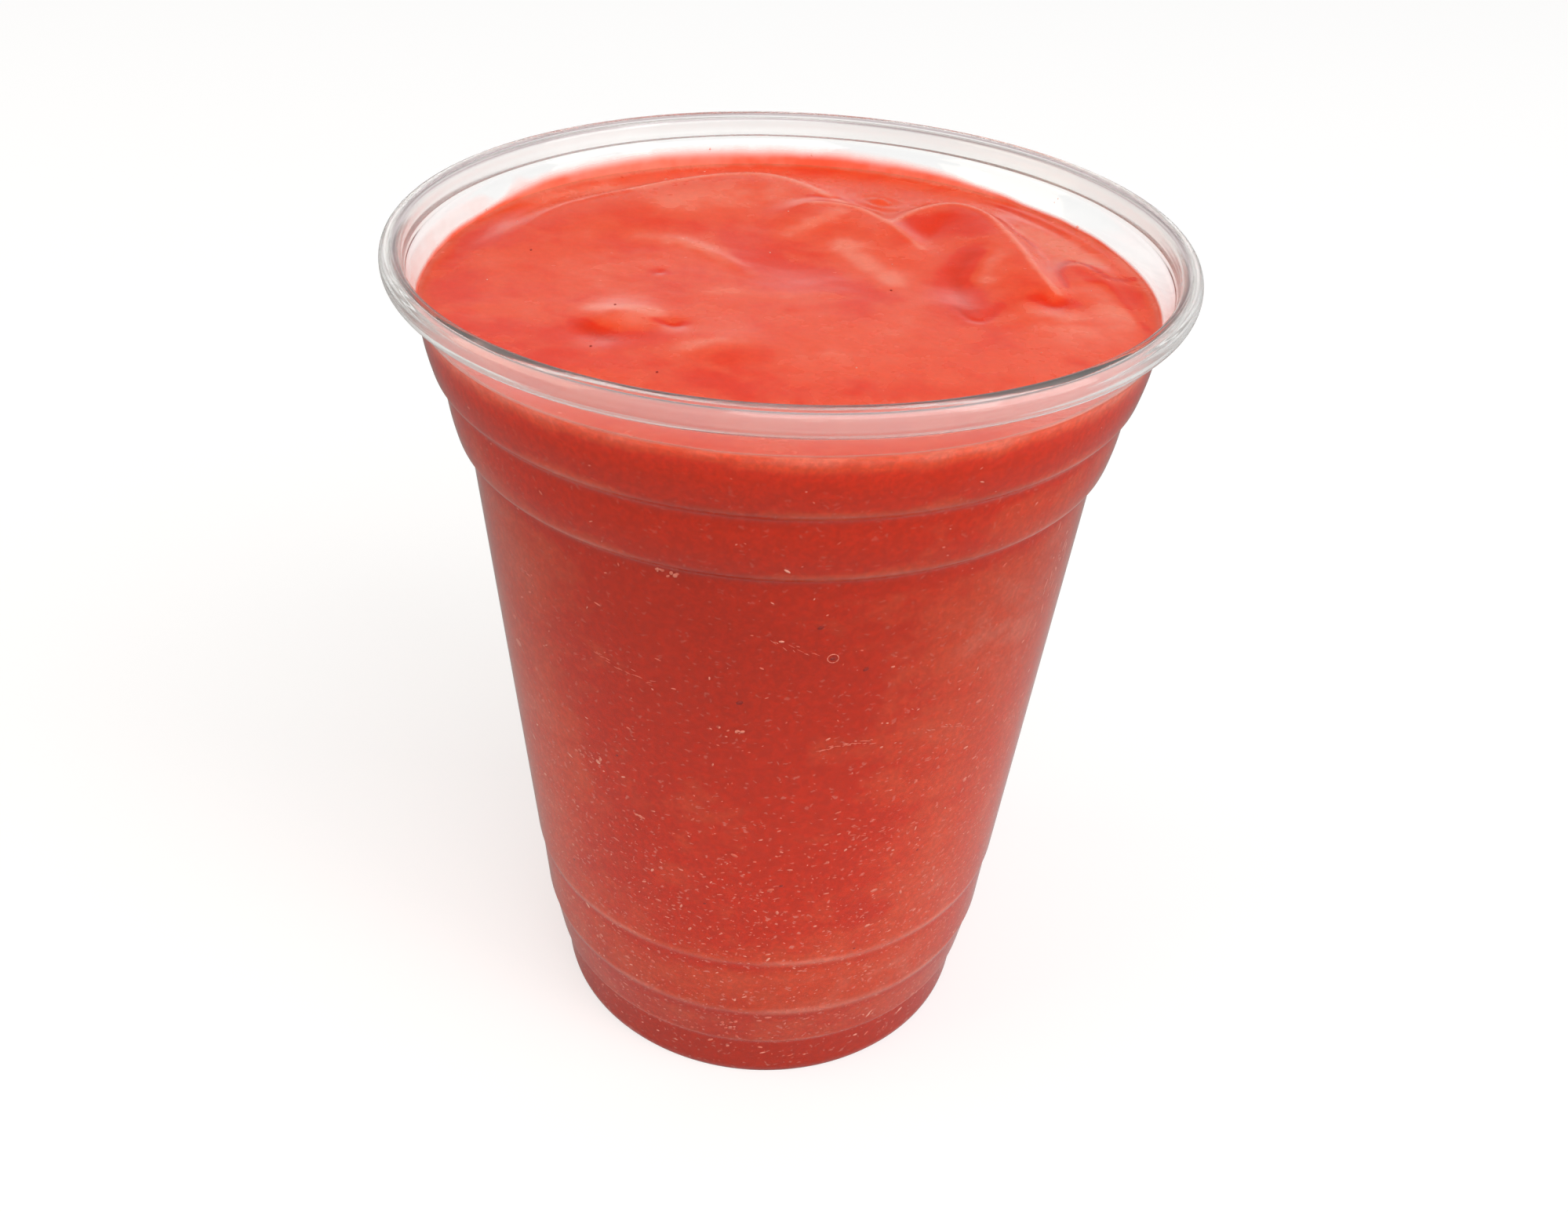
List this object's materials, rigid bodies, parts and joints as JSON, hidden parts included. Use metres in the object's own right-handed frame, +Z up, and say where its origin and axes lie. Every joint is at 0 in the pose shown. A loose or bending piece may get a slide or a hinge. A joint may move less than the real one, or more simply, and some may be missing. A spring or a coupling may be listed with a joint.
{
  "type": "fruit smoothie",
  "caption": "Clear tapered cold-drink cup with a rolled rim and stepped shoulders, filled nearly to the brim with a thick coral-red fruit smoothie.",
  "frame": {"origin": "centre of the ring that the cup stands on, on the plane of the table", "axes": "+Z up along the cup's axis, -Y towards the viewer of the picture, +X to the viewer's right"},
  "size_m": [0.098, 0.098, 0.12],
  "materials": {
    "clear_plastic": "clear, smooth and glossy",
    "smoothie": "wet, opaque blended fruit with paler and redder swirls"
  },
  "bodies": {
    "root": {"cup": "clear_plastic", "smoothie": "smoothie"}
  },
  "joints": []
}
